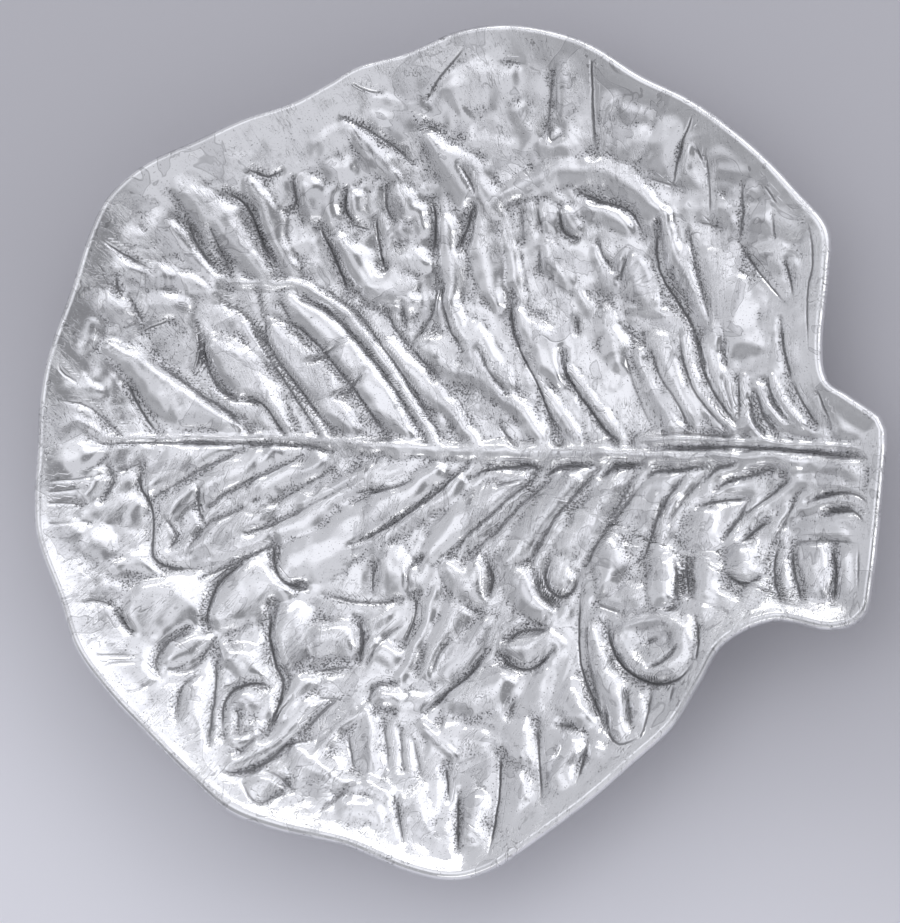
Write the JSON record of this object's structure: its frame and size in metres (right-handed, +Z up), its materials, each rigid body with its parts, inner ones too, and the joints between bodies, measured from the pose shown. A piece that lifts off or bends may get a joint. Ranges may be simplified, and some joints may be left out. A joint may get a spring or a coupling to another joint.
{
  "type": "leaf shaped plate",
  "caption": "Serving plate cast in bright aluminium in the shape of a broad cabbage leaf, a shallow dish with raised midrib, veins, blisters and a rounded rim, on small padded feet",
  "frame": {"origin": "On the table under the middle of the plate: the centre of the bounding box's bottom face, which the feet's pads touch", "axes": "X runs along the midrib from the leaf's tip (negative) to its cut stem end (positive), Y runs across the leaf, and Z points up out of the dish"},
  "size_m": [0.3998, 0.3968, 0.0426],
  "materials": {
    "casting": "hand polished sand casting with grey patina in the recesses and a satin back",
    "foot": "turned, satin",
    "pad": "matt moulded rubber"
  },
  "bodies": {
    "root": {"leaf_plate": "casting", "foot_tip_upper": "foot", "foot_tip_lower": "foot", "foot_stem_upper": "foot", "foot_stem_lower": "foot", "pad_tip_upper": "pad", "pad_tip_lower": "pad", "pad_stem_upper": "pad", "pad_stem_lower": "pad"}
  },
  "joints": []
}
